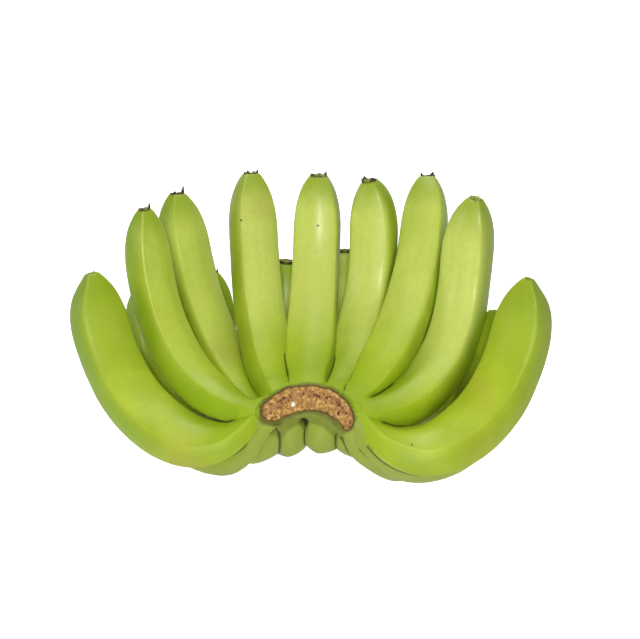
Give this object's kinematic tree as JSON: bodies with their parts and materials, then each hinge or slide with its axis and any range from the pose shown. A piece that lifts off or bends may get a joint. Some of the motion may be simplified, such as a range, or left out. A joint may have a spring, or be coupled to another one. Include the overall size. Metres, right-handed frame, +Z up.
{
  "type": "bunch of bananas",
  "caption": "One cut hand of green, unripe bananas in two rows, joined at a crescent crown with a brown corky cut, lying on the backs of its fingers.",
  "frame": {"origin": "on the surface that the hand lies on, under the middle of its bounding box", "axes": "+X along the hand's width, from the first finger of the front row to the last; the crown's cut face looks towards -Y and up; +Z up"},
  "size_m": [0.305, 0.2138, 0.149],
  "materials": {
    "green_skin": "satin, waxy peel",
    "crown_cut": "dry, corky",
    "dried_blossom": "dry, rough"
  },
  "bodies": {
    "root": {"crown": "crown_cut", "banana_front_1": "green_skin", "blossom_end_front_1": "dried_blossom", "banana_front_2": "green_skin", "blossom_end_front_2": "dried_blossom", "banana_front_3": "green_skin", "blossom_end_front_3": "dried_blossom", "banana_front_4": "green_skin", "blossom_end_front_4": "dried_blossom", "banana_front_5": "green_skin", "blossom_end_front_5": "dried_blossom", "banana_front_6": "green_skin", "blossom_end_front_6": "dried_blossom", "banana_front_7": "green_skin", "blossom_end_front_7": "dried_blossom", "banana_front_8": "green_skin", "blossom_end_front_8": "dried_blossom", "banana_front_9": "green_skin", "blossom_end_front_9": "dried_blossom", "banana_back_1": "green_skin", "blossom_end_back_1": "dried_blossom", "banana_back_2": "green_skin", "blossom_end_back_2": "dried_blossom", "banana_back_3": "green_skin", "blossom_end_back_3": "dried_blossom", "banana_back_4": "green_skin", "blossom_end_back_4": "dried_blossom", "banana_back_5": "green_skin", "blossom_end_back_5": "dried_blossom", "banana_back_6": "green_skin", "blossom_end_back_6": "dried_blossom", "banana_back_7": "green_skin", "blossom_end_back_7": "dried_blossom"}
  },
  "joints": []
}
